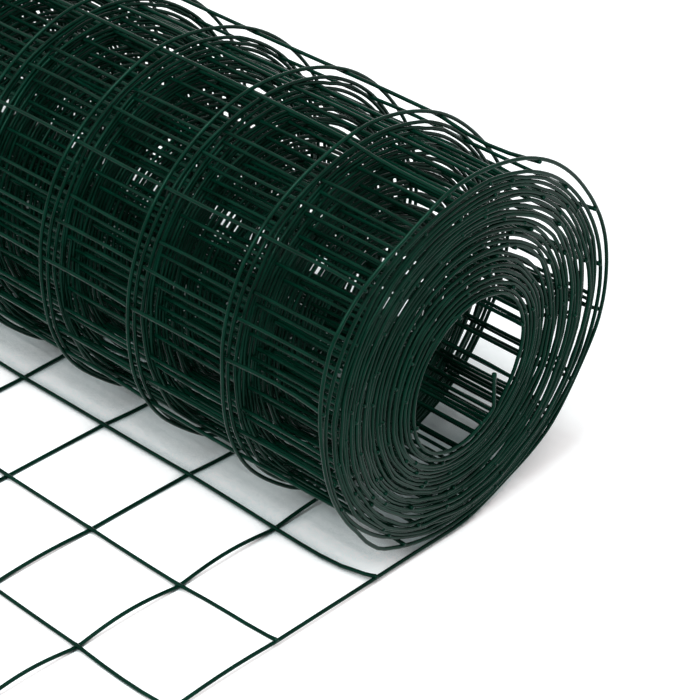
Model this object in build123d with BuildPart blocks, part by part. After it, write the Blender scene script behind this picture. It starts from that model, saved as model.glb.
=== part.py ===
"""Roll of plastic-coated welded wire fencing, with its free end drawn out flat on the floor."""

import os
from math import acos, atan2, cos, degrees, hypot, radians, sin

from build123d import *

os.makedirs("parts", exist_ok=True)

# Driving dimensions of the mesh, in millimetres
cell = 76.2
wire = 2.4
weld_sink = 0.4
line_wire_count = 14
cross_wire_stub = 2.0

# Driving dimensions of the roll
bore_radius = 46.0
wound_radius = 113.0
ridge_count = 8
ridge_height = 1.6
loose_radius = 121.0
closing_radius = 118.4
bottom_angle = -90.0
closing_angle = 50.0

# The free end on the floor
unrolled_cells = 5
cut_stub = 6.0

# Every bar is square. Line wires lie on the floor and outermost on the roll, cross wires inside them
mesh_width = (line_wire_count - 1) * cell
half_length = mesh_width / 2 + cross_wire_stub
line_height = wire / 2
cross_inset = wire - weld_sink
unrolled_length = unrolled_cells * cell + cut_stub

# The origin is the bottom centre of the whole, so the line where the roll touches down is off it
outer_reach = loose_radius + wire / 2
contact_y = (unrolled_length - outer_reach) / 2

# The wound body stands on the cross wire under it, and the loose turn is two tangent arcs round it
wound_z = line_height + cross_inset + wire / 2 + wound_radius
loose_z = line_height + loose_radius
centre_shift = loose_radius - closing_radius
closing_y = contact_y + centre_shift * cos(radians(closing_angle))
closing_z = loose_z + centre_shift * sin(radians(closing_angle))

# The second arc ends where the inner side of its line wires meets the wound body
offset = hypot(closing_y - contact_y, closing_z - wound_z)
offset_angle = degrees(atan2(closing_z - wound_z, closing_y - contact_y))
meeting_radius = wound_radius + wire / 2
meeting_cosine = (meeting_radius**2 - closing_radius**2 - offset**2) / (2 * closing_radius * offset)
end_angle = offset_angle + degrees(acos(meeting_cosine))
loose_arc = radians(closing_angle - bottom_angle) * loose_radius
closing_arc = radians(end_angle - closing_angle) * closing_radius


def sheet_place(distance, inset):
    """Y, Z and slope of the sheet at a distance past the contact line, inset towards the roll."""
    if distance <= 0:
        return contact_y + distance, line_height + inset, 0.0
    if distance <= loose_arc:
        centre_y, centre_z, radius = contact_y, loose_z, loose_radius
        angle = bottom_angle + degrees(distance / loose_radius)
    else:
        centre_y, centre_z, radius = closing_y, closing_z, closing_radius
        angle = closing_angle + degrees((distance - loose_arc) / closing_radius)
    y = centre_y + (radius - inset) * cos(radians(angle))
    z = centre_z + (radius - inset) * sin(radians(angle))
    return y, z, angle - bottom_angle


# Wound body: one turned solid with its bore, and ridges on both ends, each for three turns
ridge_pitch = (wound_radius - bore_radius) / ridge_count
end_profile = [(half_length - ridge_height, bore_radius)]
for ridge in range(ridge_count):
    inner_side = bore_radius + ridge * ridge_pitch
    end_profile.append((half_length, inner_side + ridge_pitch / 2))
    end_profile.append((half_length - ridge_height, inner_side + ridge_pitch))
near_end = [(x, wound_z + radius) for x, radius in end_profile]
far_end = [(-x, z) for x, z in reversed(near_end)]

with BuildPart() as rolled_mesh:
    with BuildSketch(Plane.XZ.offset(-contact_y)):
        with BuildLine():
            Polyline(*near_end, *far_end, close=True)
        make_face()
    revolve(axis=Axis((0, contact_y, wound_z), (1, 0, 0)))
rolled_mesh.part.label = "rolled_mesh"

# One line wire: straight along the floor, then round the roll
with BuildPart() as line_wire:
    with BuildLine(Plane.YZ) as line_path:
        Line((contact_y - unrolled_length, line_height), (contact_y, line_height))
        CenterArc((contact_y, loose_z), loose_radius, bottom_angle, closing_angle - bottom_angle)
        CenterArc((closing_y, closing_z), closing_radius, closing_angle, end_angle - closing_angle)
    free_end = (0, contact_y - unrolled_length, line_height)
    with BuildSketch(Plane(origin=free_end, x_dir=(1, 0, 0), z_dir=(0, 1, 0))):
        Rectangle(wire, wire)
    sweep(path=line_path.line)

# The sheet: a line wire at each cell across it, and a cross wire at each cell along it
line_places = [(index * cell - mesh_width / 2, 0, 0) for index in range(line_wire_count)]
last_cross = int((loose_arc + closing_arc) / cell) - 1
with BuildPart() as unrolled_mesh:
    with Locations(*line_places):
        add(line_wire.part)
    with BuildSketch(Plane.YZ.offset(-half_length)):
        for number in range(-unrolled_cells, last_cross + 1):
            y, z, slope = sheet_place(number * cell, cross_inset)
            with Locations((y, z)):
                Rectangle(wire, wire, rotation=slope)
    extrude(amount=2 * half_length)
unrolled_mesh.part.label = "unrolled_mesh"

export_step(rolled_mesh.part, "parts/rolled_mesh.step")
export_step(unrolled_mesh.part, "parts/unrolled_mesh.step")
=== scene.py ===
"""Looks of a roll of green coated welded wire fencing: every wire, from the floor to the bore."""

from math import ceil, cos, pi, radians, sin

import bpy
import numpy as np
from mathutils import Matrix, Vector


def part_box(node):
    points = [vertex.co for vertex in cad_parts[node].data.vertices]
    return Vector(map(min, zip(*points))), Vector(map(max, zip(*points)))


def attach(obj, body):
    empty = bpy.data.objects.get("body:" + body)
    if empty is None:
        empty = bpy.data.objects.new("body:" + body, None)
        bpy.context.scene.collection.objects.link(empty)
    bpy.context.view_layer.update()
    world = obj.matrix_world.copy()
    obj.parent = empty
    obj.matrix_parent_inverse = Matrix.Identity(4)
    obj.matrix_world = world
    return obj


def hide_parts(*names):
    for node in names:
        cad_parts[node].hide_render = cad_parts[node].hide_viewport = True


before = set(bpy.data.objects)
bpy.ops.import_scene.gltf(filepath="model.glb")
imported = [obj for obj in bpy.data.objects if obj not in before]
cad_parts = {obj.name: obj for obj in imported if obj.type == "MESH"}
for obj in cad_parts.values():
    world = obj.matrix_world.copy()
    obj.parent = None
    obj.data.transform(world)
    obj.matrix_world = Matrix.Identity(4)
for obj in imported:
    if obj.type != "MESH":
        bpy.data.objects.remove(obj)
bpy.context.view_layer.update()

# The mesh, in metres. Line wires lie outermost on the roll, and cross wires on their inner side
CELL = 0.0762
WIRE = 0.0024
WELD_SINK = 0.0008
CROSS_INSET = WIRE - WELD_SINK
LINE_WIRES = 14
TAIL_CELLS = 5
CUT_STUB = 0.006
EDGE_STUB = 0.0014

# Where the sheet touches down under the roll, and the pole from which its turns are measured
OPEN_LOW, OPEN_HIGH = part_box("unrolled_mesh")
CONTACT_Y = OPEN_LOW.y + TAIL_CELLS * CELL + CUT_STUB
POLE_Z = 1.42 * CELL
LAID_Z = WIRE / 2

# The wound body, measured from the pole: a circle outside, and an oval bore
WOUND_CENTRE = (0.0005, 0.0128)
WOUND_RADIUS = 0.1105
BORE_CENTRE = (-0.0035, 0.0030)
BORE_RADIUS = 0.0448
BORE_OVAL = (0.0034, 48)

# The outer turns of the sheet: direction from the pole in degrees, and distance in cells
LOOSE_TURN = (
    (-90, 1.402),
    (-80, 1.372),
    (-65, 1.355),
    (-46, 1.405),
    (-30, 1.438),
    (-20, 1.480),
    (-6, 1.590),
    (10, 1.625),
    (28, 1.680),
    (40, 1.692),
    (60, 1.733),
    (80, 1.752),
    (90, 1.766),
    (100, 1.786),
    (110, 1.779),
    (120, 1.763),
    (130, 1.749),
    (140, 1.726),
    (150, 1.676),
    (160, 1.640),
    (170, 1.590),
    (180, 1.550),
    (190, 1.525),
    (200, 1.490),
    (210, 1.450),
    (220, 1.400),
    (230, 1.382),
    (243, 1.360),
    (256, 1.340),
)
SECOND_TURN = (
    (-90, 1.318),
    (-68, 1.290),
    (-46, 1.330),
    (-24, 1.430),
    (-10, 1.505),
    (4, 1.558),
    (14, 1.575),
    (40, 1.596),
    (50, 1.616),
    (70, 1.648),
    (90, 1.664),
    (110, 1.658),
    (135, 1.632),
    (160, 1.560),
    (180, 1.490),
    (200, 1.445),
    (222, 1.372),
    (240, 1.320),
    (256, 1.290),
)
THIRD_TURN = (
    (-90, 1.270),
    (-60, 1.250),
    (-30, 1.320),
    (-10, 1.395),
    (0, 1.455),
    (20, 1.520),
    (50, 1.578),
    (70, 1.612),
    (90, 1.630),
    (110, 1.625),
    (135, 1.595),
)
# How far the front edge lies outside the other wires: degrees turned from the contact line, and cells
EDGE_SWAY = (
    (110, 0.0),
    (130, -0.018),
    (150, -0.018),
    (160, -0.024),
    (180, -0.060),
    (188, -0.083),
    (198, -0.120),
    (207, -0.124),
    (217, -0.083),
    (228, -0.021),
    (238, 0.037),
    (246, 0.022),
    (256, -0.005),
    (280, -0.025),
    (294, -0.020),
    (305, 0.005),
    (312, 0.045),
    (320, 0.066),
    (333, 0.032),
    (346, 0.010),
    (365, 0.0),
)
# The same for the wire next to it
NEXT_SWAY = (
    (110, 0.0),
    (150, -0.006),
    (180, -0.014),
    (190, -0.034),
    (198, -0.036),
    (210, -0.012),
    (220, 0.002),
    (240, 0.004),
    (262, -0.022),
    (285, -0.006),
    (310, 0.012),
    (330, 0.006),
    (350, 0.0),
)
# Further in, the front edge is dented at the top: direction, half width, depth in cells, turns to fade
EDGE_DENT = (108, 38, 0.085, 9)
NEXT_DENT = (108, 38, 0.030, 9)
TURNS = 25
LAST_BIT = 37
STEPS_PER_DEGREE = 1 / 1.5
STEPS_PER_TURN = int(360 * STEPS_PER_DEGREE)

# The winding from that circle to the bore: the degrees turned where it starts, and how it tightens outside
WINDING_START = 720
TIGHT_OUTSIDE = 1.15
# A wandering curve has a blur in samples and a size in metres
WINDING_WANDER = (14, 0.0007)
KNOT_BLUR = 2.2
# How firmly the winding is held to its target: degrees turned, and share
HOLD = ((0, 1.0), (360, 0.8), (600, 0.4), (760, 0.2), (900, 0.1), (1000, 0.02))
# Pressing the turns together: rounds, rounds between looks at the room needed, and the last such look
ROUNDS = 700
LOOK_EVERY = 100
LAST_LOOK = 400
STIFFNESS = 0.25
PUSH = 0.5
# Room between the line wires of two turns, in wires: middle value, swing round the roll, and its start
SNUG = (0.85, 0.08, 0.6)
# How far from a weld its cross wire still takes room
WELD_REACH = 0.007

# Gaps that show on the end face: direction, distance in cells, half width in degrees, room in metres
GAPS = (
    (58, 0.995, 17, 0.0046),
    (37, 0.945, 12, 0.0040),
    (8, 0.865, 9, 0.0038),
    (-20, 1.265, 16, 0.0032),
    (10, 1.385, 12, 0.0036),
    (-8, 1.465, 18, 0.0030),
    (-38, 0.890, 16, 0.0026),
    (-16, 0.805, 16, 0.0026),
    (-60, 0.820, 16, 0.0020),
    (-30, 0.555, 26, 0.0026),
    (130, 0.680, 12, 0.0028),
    (-80, 1.160, 18, 0.0020),
    (226, 1.345, 8, 0.0010),
    (254, 1.310, 8, 0.0012),
    (251, 1.250, 12, 0.0018),
    (228, 1.165, 20, 0.0030),
)

# How far the welds lie ahead along the sheet, by weld number from the contact line
SLIP = (
    (-2, -0.003),
    (-1, -0.003),
    (1, 0.006),
    (4, 0.0105),
    (5, 0.0155),
    (6, 0.0180),
    (9, 0.0150),
    (11, 0.028),
    (13, 0.032),
)
# How much further ahead those of the front edge lie
EDGE_SLIP = (
    (-3, -0.0005),
    (-2, 0.0025),
    (-1, 0.0063),
    (1, 0.0035),
    (3, 0.0035),
    (4, 0.0035),
    (6, 0.001),
    (14, 0.0),
)
# How far the front edge stands off the floor, by weld number
EDGE_LIFT = ((-5, 0.0), (-3, 0.0012), (-2, 0.0020), (0, 0.0020), (1, 0.0))
# How far the cross wires sag in their last cell, by weld number
EDGE_SAG = ((-3, -0.0015), (-2, 0.0017), (-1, 0.0), (1, 0.0), (3, 0.002), (4, 0.0035), (5, 0.003), (9, 0.0))
# How far the four line wires at the front arch off the floor, by weld number
FLOOR_ARCH = {
    -4: (0.0008, 0.0015, 0.0042, 0.0010),
    -3: (0.0014, 0.0015, 0.0038, 0.0020),
    -2: (0, 0, 0.0035, 0.0007),
    -1: (0, 0, 0.0034, 0.0002),
}
# How far they lean towards the front edge
FLOOR_LEAN = {-1: (0.0025, 0.0023, 0, 0)}
# The welds counted to the loose turn, and those at which the front edge is traced and doesn't stray
LOOSE_WELDS = 9
TRACED_WELDS = 17
# How far the wires stray at random, at the welds and between them
SHEET_SKEW = (3, 0.0016)
WELD_SHIFT = 0.0004
LOOSE_STRAY = 0.0004
WOUND_STRAY = 0.00035
BOW = 0.0005
FLOOR_BOW = (0.0009, 0.0003)
FLAT_BOW = 0.2
FRONT_CALM = 0.5
CROSS_BOW = 0.0004
# The spread of three summed random draws
THREE_DRAWS = 1.73
# How far the sheet shifts along the roll: two wandering curves, and their share by weld number
LONG_SHIFT = (25, 0.0012)
SHORT_SHIFT = (2.5, 0.0004)
SHIFT_SHARE = ((8, 0.12), (28, 0.2), (45, 1.0))
# A cross wire: its points along each cell, how much and how far it swells at a weld
CELL_PARTS = (0, 0.03, 0.08, 0.29, 0.5, 0.71, 0.92, 0.97)
WELD_SWELL = (0.16, 0.0022)
# The power by which it bends to the front edge in its last cell
EDGE_BEND = 4
# The cut wires at the inner end: length of the stub and how far it bends inwards, in degrees
STUB_LENGTH = (0.006, 0.014)
STUB_BEND = (5, 35)
FRONT_STUB = (0.026, 58)
BEND_RADIUS = 0.006
TIP_SWELL = 1.25
# The domed ends of a wire: depth, and radius as a share of the wire's
DOME_DEPTH = 0.0005
DOME_SHARE = 0.6
# The last cross wire lies at least this far from the inner end
END_MARGIN = 0.02

# How finely the wires are drawn
STEPS_PER_CELL = 12
STUB_STEP = 0.002
NORMAL_STEP = 0.002
ROUND_SIDES = 8
INNER_SIDES = 6
CROSS_WIRES_A_PIECE = 41

# The coat: its shades at two values of a cloudy noise, its roughness and gloss, and its fine ripple
COAT_SHADES = ((0.3, (0.0002, 0.0105, 0.0056, 1)), (0.75, (0.0006, 0.0250, 0.0140, 1)))
COAT_ROUGHNESS = (0.16, 0.26)
COAT_SPECULAR = 0.13
COAT_TINT = (0.35, 1, 0.75, 1)
CLOUD_SCALE = 70
RIPPLE_SCALE = 420
RIPPLE_STRENGTH = 0.15
RIPPLE_DEPTH = 0.0004

# The photograph's camera: metres, degrees and millimetres
CAMERA_PLACE = (1.2817, -0.7904, 0.9075)
CAMERA_PITCH = 32.89
CAMERA_YAW = 46.42
CAMERA_ROLL = 0.73
CAMERA_LENS = 131.5
SENSOR_WIDTH = 36

# The lamps: place, size and power, and the point they are aimed at
LAMPS = {
    "top": ((0.3, -0.15, 2.2), 0.9, 30),
    "front": ((0.75, -1.45, 1.9), 0.8, 30),
    "side": ((1.7, 0.2, 1.3), 1.2, 4),
}
LAMP_AIM = Vector((0, 0.05, 0.1))

# The floor: its size in metres, colour, roughness, and the tint of the glow that lifts it to white. The
# colour is teal so that the floor's shade looks green, a painted tint of the shade, and the glow's warm
# tint keeps the half shade grey
FLOOR_SIZE = 14
SHADE_TINTED_FLOOR_COLOUR = (0.68, 0.8, 0.81, 1)
FLOOR_ROUGHNESS = 0.9
FLOOR_GLOW = (1, 0.92, 0.92, 1)
# Where the floor is lifted to white, and where that lift fades into painted shadow round and under the
# roll: lean off the upright, reach, and a ramp between two values to a third. The second leans towards the
# front lamp, so its painted shadow falls behind the roll
UPWARD_PAINTED_SHADOW = ((0, 0, 0), 0.1, (0.41, 0.485, 1.0))
LIGHTWARD_PAINTED_SHADOW = ((0.45, -1, 0), 0.25, (0.42, 0.66, 0.7))
# The same by distance from the origin
FAR_FLOOR = (0.6, 1.8, 0.42)
# The strength of the white surround, as a light and as seen
SURROUND_LIT = 0.12
SURROUND_SEEN = 1.0

SEED = 42
random = np.random.default_rng(SEED)


def make_camera():
    """The photograph's camera, as fitted to the crossings of the flat grid and the loops of the roll."""
    pitch, yaw, roll = radians(CAMERA_PITCH), radians(CAMERA_YAW), radians(CAMERA_ROLL)
    forward = Vector((-cos(yaw) * cos(pitch), sin(yaw) * cos(pitch), -sin(pitch)))
    level_right = forward.cross(Vector((0, 0, 1))).normalized()
    level_up = level_right.cross(forward)
    right = level_right * cos(roll) + level_up * sin(roll)
    up = level_up * cos(roll) - level_right * sin(roll)
    data = bpy.data.cameras.new("camera")
    data.sensor_width = SENSOR_WIDTH
    data.lens = CAMERA_LENS
    camera = bpy.data.objects.new("camera", data)
    turned = Matrix((right, up, -forward)).transposed().to_4x4()
    turned.translation = Vector(CAMERA_PLACE)
    camera.matrix_world = turned
    bpy.context.scene.collection.objects.link(camera)
    bpy.context.scene.camera = camera


def smooth(values, width):
    """Values blurred by a Gaussian of that width in samples, with the ends held."""
    reach = int(ceil(3 * width))
    kernel = np.exp(-0.5 * (np.arange(-reach, reach + 1) / width) ** 2)
    padded = np.pad(values, reach, mode="edge")
    return np.convolve(padded, kernel / kernel.sum(), mode="valid")


def wander(count, width, size):
    """A smooth seeded random curve of that many samples, with a standard deviation of size."""
    curve = smooth(random.normal(size=count + 2), width)[:count]
    return curve / curve.std() * size


def circle_reach(angle, centre, radius):
    """Distance from the pole to a circle in a direction."""
    along = centre[0] * np.cos(angle) + centre[1] * np.sin(angle)
    across = centre[0] * np.sin(angle) - centre[1] * np.cos(angle)
    return along + np.sqrt(radius**2 - across**2)


def wind_roll():
    """Turn angle, distance from the pole and run length along the sheet, from the contact line inwards."""
    count = TURNS * STEPS_PER_TURN + int(LAST_BIT * STEPS_PER_DEGREE) + 1
    turned = np.arange(count) / STEPS_PER_DEGREE
    angle = np.radians(turned - 90)
    share = np.clip((turned - WINDING_START) / (turned[-1] - WINDING_START), 0, 1)
    outer = circle_reach(angle, WOUND_CENTRE, WOUND_RADIUS)
    oval, direction = BORE_OVAL
    bore = circle_reach(angle, BORE_CENTRE, BORE_RADIUS + oval * np.cos(2 * (angle - radians(direction))))
    share = share**TIGHT_OUTSIDE
    wound = outer * (1 - share) + bore * share + wander(count, *WINDING_WANDER)
    knots = []
    for turn, places in enumerate((LOOSE_TURN, SECOND_TURN, THIRD_TURN)):
        knots += [(360 * turn + 90 + direction, reach * CELL) for direction, reach in places]
    target = np.where(turned < knots[-1][0], np.interp(turned, *zip(*knots)), wound)
    target = smooth(target, KNOT_BLUR)
    held = np.interp(turned, *zip(*HOLD))

    inner = STEPS_PER_TURN
    radius = target.copy()
    middle, swing, start = SNUG
    for step in range(ROUNDS):
        if step % LOOK_EVERY == 0 and step <= LAST_LOOK:
            run = run_length(radius, angle)
            off_node = np.abs((run + CELL / 2) % CELL - CELL / 2)
            snug = middle + swing * np.sin(angle + start)
            need = snug * WIRE + CROSS_INSET * np.exp(-((off_node / WELD_REACH) ** 2))
            for direction, reach, half_width, room in GAPS:
                passes = np.arange(direction + 90, turned[-1], 360)
                outside = passes[np.interp(passes, turned, radius) > reach * CELL]
                need += room * np.exp(-(((turned - outside[-1]) / half_width) ** 2))
        radius[1:-1] += STIFFNESS * (radius[:-2] + radius[2:] - 2 * radius[1:-1])
        radius += held * (target - radius)
        short = np.clip(need[:-inner] - (radius[:-inner] - radius[inner:]), 0, None)
        radius[:-inner] += PUSH * short
        radius[inner:] -= PUSH * short
    return angle, radius, run_length(radius, angle)


def run_length(radius, angle):
    """Length along the sheet up to each sample."""
    y, z = radius * np.cos(angle), radius * np.sin(angle)
    return np.concatenate([[0], np.cumsum(np.hypot(np.diff(y), np.diff(z)))])


class Sheet:
    """The middle line of the line wires, by run length from the contact line, negative on the floor."""

    def __init__(self):
        self.angle, self.radius, self.run = wind_roll()
        self.last_node = int((self.run[-1] - END_MARGIN) / CELL)
        self.end = self.run[-1]

    def place(self, run):
        """Y and Z of the middle line at a run length."""
        angle = np.interp(run, self.run, self.angle)
        radius = np.interp(run, self.run, self.radius)
        y = CONTACT_Y + np.where(run < 0, run, radius * np.cos(angle))
        z = np.where(run < 0, LAID_Z, POLE_Z + radius * np.sin(angle))
        return y, z

    def normal(self, run):
        """The direction out of the roll, or down on the floor."""
        y0, z0 = self.place(run - NORMAL_STEP)
        y1, z1 = self.place(run + NORMAL_STEP)
        length = np.hypot(y1 - y0, z1 - z0)
        return (z1 - z0) / length, -(y1 - y0) / length

    def sway(self, run, index):
        """How far a wire lies outside the middle line: only the front edge and its neighbour do."""
        turned = np.degrees(np.interp(run, self.run, self.angle)) + 90
        if index == LINE_WIRES - 1:
            knots, (direction, half_width, depth, fade) = EDGE_SWAY, EDGE_DENT
        elif index == LINE_WIRES - 2:
            knots, (direction, half_width, depth, fade) = NEXT_SWAY, NEXT_DENT
        else:
            return 0 * run
        away = (turned - 90 - direction + 180) % 360 - 180
        dent = np.where(turned < 360, 0, depth * np.exp(1 / fade - turned / 360 / fade))
        dent = dent * np.exp(-((away / half_width) ** 2))
        return (np.interp(turned, *zip(*knots)) - dent) * CELL


def tube_rings(centres, radii, first, second, sides):
    """Rings of vertices round a path, on two directions across it."""
    turn = np.arange(sides) / sides * 2 * pi
    along_first = np.cos(turn)[None, :, None] * first[:, None, :]
    along_second = np.sin(turn)[None, :, None] * second[:, None, :]
    return centres[:, None, :] + radii[:, None, None] * (along_first + along_second)


def tube(centres, radii, reference, sides):
    """Vertices and faces of a round wire along a path, with slightly domed ends."""
    tangent = np.gradient(centres, axis=0)
    tangent /= np.linalg.norm(tangent, axis=1)[:, None]
    first = np.cross(tangent, reference)
    first /= np.linalg.norm(first, axis=1)[:, None]
    second = np.cross(tangent, first)
    start_dome = centres[:1] - tangent[:1] * DOME_DEPTH
    end_dome = centres[-1:] + tangent[-1:] * DOME_DEPTH
    centres = np.vstack([start_dome, centres, end_dome])
    radii = np.concatenate([radii[:1] * DOME_SHARE, radii, radii[-1:] * DOME_SHARE])
    first = np.vstack([first[:1], first, first[-1:]])
    second = np.vstack([second[:1], second, second[-1:]])
    rings = tube_rings(centres, radii, first, second, sides)
    count = len(centres)
    low = (np.arange(count - 1)[:, None] * sides + np.arange(sides)[None, :]).ravel()
    nxt = (np.arange(count - 1)[:, None] * sides + (np.arange(sides)[None, :] + 1) % sides).ravel()
    quads = np.stack([low, low + sides, nxt + sides, nxt], axis=1)
    start_cap = np.arange(sides)
    end_cap = (count - 1) * sides + np.arange(sides)[::-1]
    return rings.reshape(-1, 3), quads, [start_cap, end_cap]


def make_piece(name, tubes, material):
    """One joined mesh of several wires, riding on the part."""
    vertices, loops, sizes = [], [], []
    start = 0
    for points, quads, caps in tubes:
        vertices.append(points)
        loops.append((quads + start).ravel())
        sizes.append(np.full(len(quads), 4))
        for cap in caps:
            loops.append(cap + start)
            sizes.append(np.array([len(cap)]))
        start += len(points)
    vertices = np.vstack(vertices)
    loops = np.concatenate(loops)
    sizes = np.concatenate(sizes)
    mesh = bpy.data.meshes.new(name)
    mesh.vertices.add(len(vertices))
    mesh.vertices.foreach_set("co", vertices.astype(np.float32).ravel())
    mesh.loops.add(len(loops))
    mesh.loops.foreach_set("vertex_index", loops.astype(np.int32))
    mesh.polygons.add(len(sizes))
    mesh.polygons.foreach_set("loop_start", (np.cumsum(sizes) - sizes).astype(np.int32))
    mesh.polygons.foreach_set("use_smooth", np.ones(len(sizes), dtype=bool))
    mesh.update(calc_edges=True)
    mesh.validate()
    mesh.materials.append(material)
    piece = bpy.data.objects.new(name, mesh)
    bpy.context.scene.collection.objects.link(piece)
    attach(piece, "root")
    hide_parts("rolled_mesh", "unrolled_mesh")
    return piece


class Weave:
    """Where each line wire is welded, and how far each wire strays from the sheet's middle line."""

    def __init__(self, sheet):
        self.sheet = sheet
        self.first_node = -TAIL_CELLS
        self.nodes = np.arange(self.first_node, sheet.last_node + 1)
        count = len(self.nodes)
        on_tail = self.nodes < 0
        on_loose = (self.nodes >= 0) & (self.nodes < LOOSE_WELDS)
        width = np.arange(LINE_WIRES) / (LINE_WIRES - 1) - 0.5
        skew = wander(count, *SHEET_SKEW)[:, None] * width[None, :] * 2
        skew[on_tail] = 0
        shift = random.normal(size=(count, LINE_WIRES)) * WELD_SHIFT
        slip = np.interp(self.nodes, *zip(*SLIP))
        shift[:, -1] = np.interp(self.nodes, *zip(*EDGE_SLIP))
        self.node_run = self.nodes[:, None] * CELL + slip[:, None] + skew + shift
        # Stray at the welds, outwards from the sheet, alike for neighbouring wires
        spread = np.where(on_tail, 0.0, np.where(on_loose, LOOSE_STRAY, WOUND_STRAY))
        raw = random.normal(size=(count, LINE_WIRES + 2))
        self.weld_stray = spread[:, None] * (raw[:, :-2] + raw[:, 1:-1] + raw[:, 2:]) / THREE_DRAWS
        # Bow between welds, outwards, and sideways along the roll
        most, least = FLOOR_BOW
        self.bow = random.normal(size=(count, LINE_WIRES)) * BOW
        self.bow[on_loose] = random.normal(size=(on_loose.sum(), LINE_WIRES)) * BOW
        self.bow[on_tail] = -np.abs(random.normal(size=(on_tail.sum(), LINE_WIRES))) * most - least
        self.bow[self.nodes == -1] *= FLAT_BOW
        self.side_bow = random.normal(size=(count, LINE_WIRES)) * BOW
        for node, arches in FLOOR_ARCH.items():
            self.bow[node - self.first_node, -len(arches) :] = -np.array(arches)
        for node, leans in FLOOR_LEAN.items():
            self.side_bow[node - self.first_node, -len(leans) :] = leans
        front = LINE_WIRES - 1
        near = self.nodes < TRACED_WELDS
        self.weld_stray[:, front] *= FRONT_CALM
        self.bow[:, front] *= FRONT_CALM
        self.weld_stray[near, front] = 0
        self.weld_stray[:, front] -= np.interp(self.nodes, *zip(*EDGE_LIFT))
        self.bow[near & ~on_tail, front] = 0
        self.turn_shift = wander(count, *LONG_SHIFT) + wander(count, *SHORT_SHIFT)
        self.turn_shift *= np.interp(self.nodes, *zip(*SHIFT_SHARE))
        lengths = random.uniform(*STUB_LENGTH, size=LINE_WIRES)
        bends = random.uniform(*STUB_BEND, size=LINE_WIRES)
        self.stubs = list(zip(lengths, bends))
        self.stubs[front] = FRONT_STUB

    def line_wire(self, index):
        """Path of one line wire, from its cut end on the floor to the one in the bore."""
        run = np.arange(-TAIL_CELLS * CELL - CUT_STUB, self.sheet.end, CELL / STEPS_PER_CELL)
        nodes = self.node_run[:, index]
        cell = np.clip(np.searchsorted(nodes, run, side="right") - 1, 0, len(nodes) - 1)
        nxt = np.clip(cell + 1, 0, len(nodes) - 1)
        gap = np.where(nxt > cell, nodes[nxt] - nodes[cell], CELL)
        part = np.clip((run - nodes[cell]) / gap, 0, 1)
        arch = np.sin(pi * part)
        ease = part * part * (3 - 2 * part)
        weld = self.weld_stray[cell, index] * (1 - ease) + self.weld_stray[nxt, index] * ease
        outward = weld + self.bow[cell, index] * arch + self.sheet.sway(run, index)
        side = self.turn_shift[cell] * (1 - ease) + self.turn_shift[nxt] * ease
        side = side + self.side_bow[cell, index] * arch
        y, z = self.sheet.place(run)
        normal_y, normal_z = self.sheet.normal(run)
        x = (index - (LINE_WIRES - 1) / 2) * CELL + side
        z = np.maximum(z + normal_z * outward, LAID_Z)
        path = np.stack([x, y + normal_y * outward, z], axis=1)
        return np.vstack([path, self.stub(path, *self.stubs[index])])

    def stub(self, path, length, bend):
        """The cut end of a line wire in the bore, bent away from the wall."""
        steps = int(ceil(length / STUB_STEP))
        step = length / steps
        heading = path[-1] - path[-2]
        bent = np.minimum(np.arange(1, steps + 1) * step / BEND_RADIUS, radians(bend))
        angle = np.arctan2(heading[2], heading[1]) + bent
        moves = np.stack([np.zeros(steps), np.cos(angle), np.sin(angle)], axis=1) * step
        return path[-1] + np.cumsum(moves, axis=0)

    def cross_wire(self, number):
        """Path of one cross wire with its radii, from edge to edge, welded inside every line wire."""
        run = self.node_run[number]
        y, z = self.sheet.place(run)
        normal_y, normal_z = self.sheet.normal(run)
        sways = np.array([self.sheet.sway(run[index], index) for index in range(LINE_WIRES)])
        outward = self.weld_stray[number] - CROSS_INSET + sways
        sag = np.interp(self.nodes[number], *zip(*EDGE_SAG))
        x = (np.arange(LINE_WIRES) - (LINE_WIRES - 1) / 2) * CELL + self.turn_shift[number]
        welds = np.stack([x, y + normal_y * outward, z + normal_z * outward], axis=1)
        parts = np.array(CELL_PARTS)
        height, reach = WELD_SWELL
        swell = 1 + height * np.exp(-((np.minimum(parts, 1 - parts) * CELL / reach) ** 2))
        outwards = np.array([0, normal_y.mean(), normal_z.mean()])
        along = np.array([0, -normal_z.mean(), normal_y.mean()])
        points, radii = [], []
        for index in range(LINE_WIRES - 1):
            bow_out, bow_along = random.normal(size=2) * CROSS_BOW
            straight = welds[index] + (welds[index + 1] - welds[index]) * parts[:, None]
            if index == LINE_WIRES - 2:
                ahead = 2 * welds[index] - welds[index - 1]
                bend = (parts**EDGE_BEND)[:, None]
                straight = welds[index] + (ahead - welds[index]) * parts[:, None]
                straight = straight + (welds[index + 1] - ahead) * bend
                bow_out = -sag
            arch = np.sin(pi * parts)[:, None]
            points.append(straight + arch * (bow_out * outwards + bow_along * along))
            radii.append(swell)
        points.append(welds[-1:])
        radii.append([swell[0]])
        points = np.vstack(points)
        radii = np.concatenate(radii) * WIRE / 2
        stub = np.array([EDGE_STUB, 0, 0])
        points = np.vstack([points[:1] - stub, points, points[-1:] + stub])
        radii = np.concatenate([[WIRE / 2], radii, [WIRE / 2]])
        return points, radii, outwards


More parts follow.
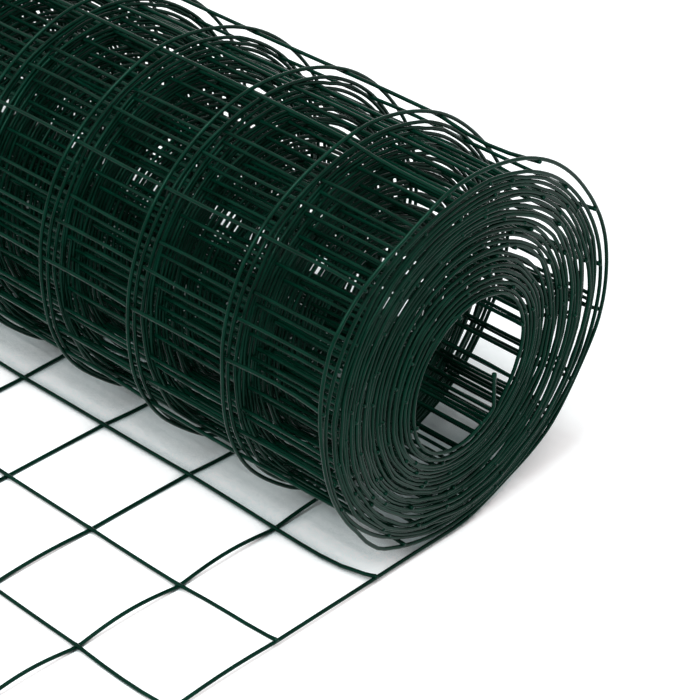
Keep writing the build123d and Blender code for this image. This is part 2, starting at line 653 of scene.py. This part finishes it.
def make_coat():
    """Green plastic coat: a little uneven in shade and gloss, with a faint ripple from dipping."""
    material = bpy.data.materials.new("green_coat")
    material.use_nodes = True
    nodes, links = material.node_tree.nodes, material.node_tree.links
    shader = nodes["Principled BSDF"]
    place = nodes.new("ShaderNodeTexCoord")
    cloud = nodes.new("ShaderNodeTexNoise")
    cloud.inputs["Scale"].default_value = CLOUD_SCALE
    cloud.inputs["Detail"].default_value = 3
    links.new(place.outputs["Object"], cloud.inputs["Vector"])
    shade = nodes.new("ShaderNodeValToRGB")
    for element, (position, colour) in zip(shade.color_ramp.elements, COAT_SHADES):
        element.position = position
        element.color = colour
    links.new(cloud.outputs["Fac"], shade.inputs["Fac"])
    links.new(shade.outputs["Color"], shader.inputs["Base Color"])
    gloss = nodes.new("ShaderNodeMapRange")
    gloss.inputs["To Min"].default_value, gloss.inputs["To Max"].default_value = COAT_ROUGHNESS
    links.new(cloud.outputs["Fac"], gloss.inputs["Value"])
    links.new(gloss.outputs["Result"], shader.inputs["Roughness"])
    shader.inputs["Specular IOR Level"].default_value = COAT_SPECULAR
    shader.inputs["Specular Tint"].default_value = COAT_TINT
    ripple = nodes.new("ShaderNodeTexNoise")
    ripple.inputs["Scale"].default_value = RIPPLE_SCALE
    links.new(place.outputs["Object"], ripple.inputs["Vector"])
    bump = nodes.new("ShaderNodeBump")
    bump.inputs["Strength"].default_value = RIPPLE_STRENGTH
    bump.inputs["Distance"].default_value = RIPPLE_DEPTH
    links.new(ripple.outputs["Fac"], bump.inputs["Height"])
    links.new(bump.outputs["Normal"], shader.inputs["Normal"])
    return material


def make_wires():
    """All wires of the sheet, replacing both plain solids."""
    coat = make_coat()
    sheet = Sheet()
    weave = Weave(sheet)
    axis = np.array([1.0, 0, 0])
    for index in range(LINE_WIRES):
        path = weave.line_wire(index)
        radii = np.full(len(path), WIRE / 2)
        radii[-2:] *= TIP_SWELL
        wire = tube(path, radii, axis, ROUND_SIDES)
        make_piece(f"line_wire_{index + 1:02d}", [wire], coat)
    groups = {"floor": (-TAIL_CELLS, -1), "loose_turn": (0, LOOSE_WELDS)}
    starts = range(LOOSE_WELDS + 1, sheet.last_node + 1, CROSS_WIRES_A_PIECE)
    for group, start in enumerate(starts, 1):
        groups[f"turns_{group}"] = (start, min(start + CROSS_WIRES_A_PIECE - 1, sheet.last_node))
    for name, (first, last) in groups.items():
        sides = ROUND_SIDES if name in ("floor", "loose_turn") else INNER_SIDES
        tubes = []
        for node in range(first, last + 1):
            points, radii, normal = weave.cross_wire(node - weave.first_node)
            tubes.append(tube(points, radii, normal, sides))
        make_piece(f"cross_wires_{name}", tubes, coat)


def combined(nodes, links, operation, first, second):
    """Two values of a material, multiplied, added or the larger of them."""
    result = nodes.new("ShaderNodeMath")
    result.operation = operation
    links.new(first, result.inputs[0])
    links.new(second, result.inputs[1])
    return result.outputs[0]


def seen_directly(nodes, links):
    """One for what the camera, gloss and glass show, and nothing for what lights the part."""
    ray = nodes.new("ShaderNodeLightPath").outputs
    either = combined(nodes, links, "MAXIMUM", ray["Is Camera Ray"], ray["Is Glossy Ray"])
    return combined(nodes, links, "MAXIMUM", either, ray["Is Transmission Ray"])


def ramped(nodes, links, value, ramp):
    """A value of a material that climbs from nothing between two values, up to a third."""
    share = nodes.new("ShaderNodeMapRange")
    share.inputs["From Min"].default_value = ramp[0]
    share.inputs["From Max"].default_value = ramp[1]
    share.inputs["To Max"].default_value = ramp[2]
    links.new(value, share.inputs["Value"])
    return share.outputs["Result"]


def farness(nodes, links, ramp):
    """How far a place on the floor is from the origin."""
    place = nodes.new("ShaderNodeTexCoord")
    distance = nodes.new("ShaderNodeVectorMath")
    distance.operation = "LENGTH"
    links.new(place.outputs["Object"], distance.inputs[0])
    return ramped(nodes, links, distance.outputs["Value"], ramp)


def painted_shadow_glow(nodes, links, lean, reach, ramp):
    """How open the floor is round a direction that leans off the upright, as a share of the glow: where the
    roll closes the floor in, the glow fades into painted shadow.
    """
    geometry = nodes.new("ShaderNodeNewGeometry")
    leaning = nodes.new("ShaderNodeVectorMath")
    leaning.operation = "ADD"
    links.new(geometry.outputs["Normal"], leaning.inputs[0])
    leaning.inputs[1].default_value = lean
    direction = nodes.new("ShaderNodeVectorMath")
    direction.operation = "NORMALIZE"
    links.new(leaning.outputs[0], direction.inputs[0])
    probe = nodes.new("ShaderNodeAmbientOcclusion")
    probe.inputs["Distance"].default_value = reach
    links.new(direction.outputs[0], probe.inputs["Normal"])
    return ramped(nodes, links, probe.outputs["AO"], ramp)


def make_stage():
    """White floor that keeps the lamps' shadow and gets painted shadow where its glow fades near the roll,
    a white surround and soft light from above and the front.
    """
    scene = bpy.context.scene
    bpy.ops.mesh.primitive_plane_add(size=FLOOR_SIZE, location=(0, 0, 0))
    floor = bpy.context.object
    floor.name = "floor"
    material = bpy.data.materials.new("white_floor")
    material.use_nodes = True
    nodes, links = material.node_tree.nodes, material.node_tree.links
    shader = nodes["Principled BSDF"]
    # A teal floor colour, so that its shade looks green: a painted tint of the shade
    shader.inputs["Base Color"].default_value = SHADE_TINTED_FLOOR_COLOUR
    shader.inputs["Roughness"].default_value = FLOOR_ROUGHNESS
    shader.inputs["Specular IOR Level"].default_value = 0
    shader.inputs["Emission Color"].default_value = FLOOR_GLOW
    # The glow fades where the roll closes the floor in: painted shadow round and under the roll, leaning
    # away from the front lamp
    upward_painted_shadow = painted_shadow_glow(nodes, links, *UPWARD_PAINTED_SHADOW)
    lightward_painted_shadow = painted_shadow_glow(nodes, links, *LIGHTWARD_PAINTED_SHADOW)
    near = combined(nodes, links, "MULTIPLY", upward_painted_shadow, lightward_painted_shadow)
    glow_with_painted_shadow = combined(nodes, links, "ADD", near, farness(nodes, links, FAR_FLOOR))
    seen_glow_with_painted_shadow = combined(nodes, links, "MULTIPLY", glow_with_painted_shadow, seen_directly(nodes, links))
    links.new(seen_glow_with_painted_shadow, shader.inputs["Emission Strength"])
    floor.data.materials.append(material)

    world = bpy.data.worlds.new("surround")
    scene.world = world
    world.use_nodes = True
    nodes, links = world.node_tree.nodes, world.node_tree.links
    background = nodes["Background"]
    background.inputs["Color"].default_value = (1, 1, 1, 1)
    strength = nodes.new("ShaderNodeMapRange")
    strength.inputs["To Min"].default_value = SURROUND_LIT
    strength.inputs["To Max"].default_value = SURROUND_SEEN
    links.new(seen_directly(nodes, links), strength.inputs["Value"])
    links.new(strength.outputs["Result"], background.inputs["Strength"])

    for name, (place, size, power) in LAMPS.items():
        data = bpy.data.lights.new(name, "AREA")
        data.size = size
        data.energy = power
        lamp = bpy.data.objects.new(name, data)
        lamp.location = place
        lamp.rotation_euler = (LAMP_AIM - Vector(place)).to_track_quat("-Z", "Y").to_euler()
        scene.collection.objects.link(lamp)
    scene.view_settings.view_transform = "Standard"


make_camera()
make_wires()
make_stage()
